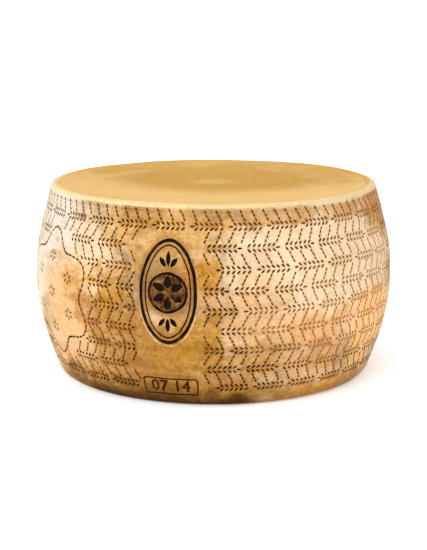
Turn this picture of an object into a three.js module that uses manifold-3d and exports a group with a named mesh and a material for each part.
// A whole wheel of long-aged hard cheese: one solid barrel of cheese, wider than it is high, standing
// on one of its two flat faces.
//
// The side bulges, more above the middle than below, because the young wheel sags in its hoop. Both
// faces are edged by a low rim. Sunk into the side are the marks that show from a step away: an oval
// brand burned in by a hot iron, a date plate under it, and the outline of a six-lobed medallion on
// each side of the wheel.
//
// Millimetres, +Z up. The origin is the middle of the lower face and the brand faces -Y.
import * as THREE from "three";
import { mergeVertices } from "three/addons/utils/BufferGeometryUtils.js";
import Module from "manifold-3d";

const wasm = await Module();
wasm.setup();

// The barrel
const HEIGHT = 228;
const WIDEST = 215; // radius at the belly
const SIDE = [
  // [height, radius] up the side, between the foot's rounding and the lip's
  [11, 192],
  [46, 204],
  [87, 213],
  [128, WIDEST],
  [164, 211.5],
  [196, 203.5],
  [222, 196.5],
];
const FOOT = { round: 13, corner: 3.5 }; // how far in the lower edge starts, and where its curve turns
const LIP = { round: 6, corner: 1 }; // the same for the upper edge
const RIM_WIDTH = 8; // flat top of the rim round each face
const RIM_SLOPE = 14; // over this the rim falls to the face
const RIM_HEIGHT = 2; // the rim stands this proud of the face

// The marks. Angles are round the wheel from -Y towards +X, in degrees.
const BRAND = { angle: 0, height: 134, halfWidth: 32.5, halfHeight: 58, line: 3.2, depth: 1.6 };
const INNER_LINE = { inset: 6.2, line: 1.5 }; // second line inside the brand's frame
const ROSETTE = { petals: 6, radius: 18.5, petalWidth: 8.4, ring: 22.5, ringLine: 2.2, hub: 2 };
const SPRIG = { foot: 28, length: 17, petalWidth: 5.4, spread: 38, apart: 2.5, sideLength: 0.75 };
const PLATE = { angle: -0.5, height: 24, width: 68, tall: 21, corner: 4, line: 1.5, depth: 1.2 };
const DIGIT = { width: 8, tall: 12.5, line: 1.7, pitch: 12.4 };
const MEDALLION = { angles: [-46.6, 133.4], height: 114, radius: 66, lobe: 8, lobes: 6, line: 2, depth: 1 };
const STAMP_REACH = { within: 40, beyond: 10 }; // how far a stamp's block runs inside and outside the belly

// How finely the curves are cut into facets
const TURN_STEPS = 84;
const SIDE_STEPS = 11;
const EDGE_STEPS = 3;
const RING_STEPS = 14;
const PETAL_STEPS = 5;
const DIGIT_STEPS = 6;
const LOBE_STEPS = 10;
const WELD = 1e-3; // corners closer than this are one corner

const DEGREE = Math.PI / 180;

// The half outline of the barrel, from the axis at the bottom to the axis at the top. With an inset it
// is the outline of the cheese that deep under the skin.
function outline(inset = 0) {
  const points = [];
  const add = (r, z) => points.push(new THREE.Vector2(r, z));
  const [footHeight, footRadius] = SIDE[0];
  const [lipHeight, lipRadius] = SIDE.at(-1);
  const footEdge = footRadius - FOOT.round;
  const lipEdge = lipRadius - LIP.round;
  const face = RIM_HEIGHT + inset;
  const foot = new THREE.QuadraticBezierCurve(
    new THREE.Vector2(footEdge, 0),
    new THREE.Vector2(footRadius - FOOT.corner, 0),
    new THREE.Vector2(footRadius, footHeight),
  );
  const side = new THREE.SplineCurve(SIDE.map(([z, r]) => new THREE.Vector2(r, z)));
  const lip = new THREE.QuadraticBezierCurve(
    new THREE.Vector2(lipRadius, lipHeight),
    new THREE.Vector2(lipRadius - LIP.corner, HEIGHT),
    new THREE.Vector2(lipEdge, HEIGHT),
  );

  add(0, face);
  add(footEdge - RIM_WIDTH - RIM_SLOPE, face);
  add(footEdge - RIM_WIDTH, inset);
  add(footEdge, inset);
  for (const p of foot.getPoints(EDGE_STEPS).slice(1, -1)) add(p.x - inset, p.y + inset);
  for (const p of side.getPoints(SIDE_STEPS)) add(p.x - inset, p.y);
  for (const p of lip.getPoints(EDGE_STEPS).slice(1)) add(p.x - inset, p.y - inset);
  add(lipEdge - RIM_WIDTH, HEIGHT - inset);
  add(lipEdge - RIM_WIDTH - RIM_SLOPE, HEIGHT - face);
  add(0, HEIGHT - face);
  return points;
}

// A closed geometry as a solid that can be cut.
function solid(geometry) {
  geometry.deleteAttribute("normal");
  geometry.deleteAttribute("uv");
  const merged = mergeVertices(geometry, WELD);
  return new wasm.Manifold(
    new wasm.Mesh({
      numProp: 3,
      vertProperties: merged.attributes.position.array,
      triVerts: new Uint32Array(merged.index.array),
    }),
  );
}

function geometryOf(made) {
  const mesh = made.getMesh();
  const geometry = new THREE.BufferGeometry();
  geometry.setAttribute("position", new THREE.BufferAttribute(mesh.vertProperties, 3));
  geometry.setIndex(new THREE.BufferAttribute(mesh.triVerts, 1));
  geometry.computeVertexNormals();
  return geometry;
}

// A lathe turns about Y, so its axis is stood up along Z.
function barrel(inset = 0) {
  return solid(new THREE.LatheGeometry(outline(inset), TURN_STEPS).rotateX(Math.PI / 2));
}

// The wheel's side unrolled is a flat sheet: x along the belly's arc, y up. A stamp is drawn there,
// made a block that reaches through the skin, and bent round the wheel.
function stamp(shape, angle, height, curveSegments) {
  const within = WIDEST - STAMP_REACH.within;
  const beyond = WIDEST + STAMP_REACH.beyond;
  const depth = beyond - within;
  const block = new THREE.ExtrudeGeometry(shape, { depth, bevelEnabled: false, curveSegments });
  const place = block.getAttribute("position");
  for (let i = 0; i < place.count; i++) {
    const turn = angle * DEGREE + place.getX(i) / WIDEST;
    const radius = within + place.getZ(i);
    place.setXYZ(i, radius * Math.sin(turn), -radius * Math.cos(turn), height + place.getY(i));
  }
  return solid(block);
}

// Sinks stamps into the wheel to one depth under its skin, so that the marks follow its curve.
function sink(wheel, stamps, depth) {
  const together = stamps.reduce((all, one) => all.add(one));
  return wheel.subtract(together.subtract(barrel(depth)));
}

function ellipseRing(halfWidth, halfHeight, line, x = 0) {
  const ring = new THREE.Shape().absellipse(x, 0, halfWidth, halfHeight, 0, 2 * Math.PI);
  ring.holes.push(new THREE.Path().absellipse(x, 0, halfWidth - line, halfHeight - line, 0, 2 * Math.PI));
  return ring;
}

// A leaf with its foot at (x, y), pointing at an angle from straight up.
function petal(x, y, length, width, lean) {
  const along = (share, aside) => [
    x + length * share * Math.sin(lean) + aside * Math.cos(lean),
    y + length * share * Math.cos(lean) - aside * Math.sin(lean),
  ];
  const leaf = new THREE.Shape();
  leaf.moveTo(...along(0, 0));
  leaf.quadraticCurveTo(...along(0.5, width), ...along(1, 0));
  leaf.quadraticCurveTo(...along(0.5, -width), ...along(0, 0));
  return leaf;
}

function brandRings() {
  const { halfWidth, halfHeight, line } = BRAND;
  const { inset } = INNER_LINE;
  return [
    ellipseRing(halfWidth, halfHeight, line),
    ellipseRing(halfWidth - inset, halfHeight - inset, INNER_LINE.line),
    ellipseRing(ROSETTE.ring, ROSETTE.ring, ROSETTE.ringLine),
  ];
}

// A rosette in the middle, and a sprig of three leaves above it and below it.
function brandPetals() {
  const petals = [];
  for (let i = 0; i < ROSETTE.petals; i++) {
    const lean = (i * 2 * Math.PI) / ROSETTE.petals;
    const foot = [ROSETTE.hub * Math.sin(lean), ROSETTE.hub * Math.cos(lean)];
    petals.push(petal(...foot, ROSETTE.radius - ROSETTE.hub, ROSETTE.petalWidth, lean));
  }
  for (const way of [1, -1]) {
    for (const side of [-1, 0, 1]) {
      const lean = (way > 0 ? 0 : Math.PI) + side * SPRIG.spread * DEGREE;
      const length = SPRIG.length * (side ? SPRIG.sideLength : 1);
      petals.push(petal(side * SPRIG.apart * way, SPRIG.foot * way, length, SPRIG.petalWidth, lean));
    }
  }
  return petals;
}

// A straight stroke of a digit, between two points of the digit's box: across from its middle, and up
// from its foot, both as shares of its size.
function stroke(x, from, to) {
  const a = new THREE.Vector2(x + from[0] * DIGIT.width, (from[1] - 0.5) * DIGIT.tall);
  const b = new THREE.Vector2(x + to[0] * DIGIT.width, (to[1] - 0.5) * DIGIT.tall);
  const along = b.clone().sub(a).setLength(DIGIT.line / 2);
  const aside = new THREE.Vector2(-along.y, along.x);
  return new THREE.Shape([
    a.clone().sub(along).sub(aside),
    b.clone().add(along).sub(aside),
    b.clone().add(along).add(aside),
    a.clone().sub(along).add(aside),
  ]);
}

// Plain numbers: each digit is drawn about the middle of its place along the plate.
const DIGITS = {
  0: (x) => [ellipseRing(DIGIT.width / 2, DIGIT.tall / 2, DIGIT.line, x)],
  1: (x) => [stroke(x, [0.1, 0], [0.1, 1]), stroke(x, [-0.3, 0.72], [0.1, 1])],
  4: (x) => [
    stroke(x, [0.2, 0], [0.2, 1]),
    stroke(x, [-0.45, 0.3], [0.2, 1]),
    stroke(x, [-0.45, 0.3], [0.5, 0.3]),
  ],
  7: (x) => [stroke(x, [-0.45, 1], [0.45, 1]), stroke(x, [0.45, 1], [-0.15, 0])],
};
const DATE = [
  // [digit, place along the plate in digit pitches]
  ["0", -2],
  ["7", -1],
  ["1", 1],
  ["4", 2],
];

function roundedBox(path, width, tall, corner) {
  const [x, y] = [width / 2, tall / 2];
  path.moveTo(-x + corner, -y);
  path.lineTo(x - corner, -y).quadraticCurveTo(x, -y, x, -y + corner);
  path.lineTo(x, y - corner).quadraticCurveTo(x, y, x - corner, y);
  path.lineTo(-x + corner, y).quadraticCurveTo(-x, y, -x, y - corner);
  path.lineTo(-x, -y + corner).quadraticCurveTo(-x, -y, -x + corner, -y);
  return path;
}

function plateShapes() {
  const { width, tall, corner, line } = PLATE;
  const frame = roundedBox(new THREE.Shape(), width, tall, corner);
  frame.holes.push(roundedBox(new THREE.Path(), width - 2 * line, tall - 2 * line, corner - line));
  return [frame, ...DATE.flatMap(([digit, place]) => DIGITS[digit](place * DIGIT.pitch))];
}

// A round line that swells into lobes, one of them at the top.
function lobedRing() {
  const { radius, lobe, lobes, line } = MEDALLION;
  const steps = LOBE_STEPS * lobes;
  const turn = (grown) =>
    Array.from({ length: steps }, (_, i) => {
      const t = (i / steps) * 2 * Math.PI;
      const r = radius + grown + lobe * Math.cos(lobes * t);
      return new THREE.Vector2(-r * Math.sin(t), r * Math.cos(t));
    });
  const ring = new THREE.Shape(turn(line / 2));
  ring.holes.push(new THREE.Path(turn(-line / 2)));
  return ring;
}

const brand = [
  ...brandRings().map((shape) => stamp(shape, BRAND.angle, BRAND.height, RING_STEPS)),
  ...brandPetals().map((shape) => stamp(shape, BRAND.angle, BRAND.height, PETAL_STEPS)),
];
const plate = plateShapes().map((shape) => stamp(shape, PLATE.angle, PLATE.height, DIGIT_STEPS));
const medallions = MEDALLION.angles.map((angle) =>
  stamp(lobedRing(), angle, MEDALLION.height, DIGIT_STEPS),
);

let wheel = barrel();
wheel = sink(wheel, brand, BRAND.depth);
wheel = sink(wheel, plate, PLATE.depth);
wheel = sink(wheel, medallions, MEDALLION.depth);

const rind = new THREE.MeshStandardMaterial({ color: 0xe0b478, roughness: 0.5, metalness: 0 });
const cheese = new THREE.Mesh(geometryOf(wheel), rind);
cheese.name = "cheese_wheel";

const object = new THREE.Group();
object.add(cheese);
export default object;
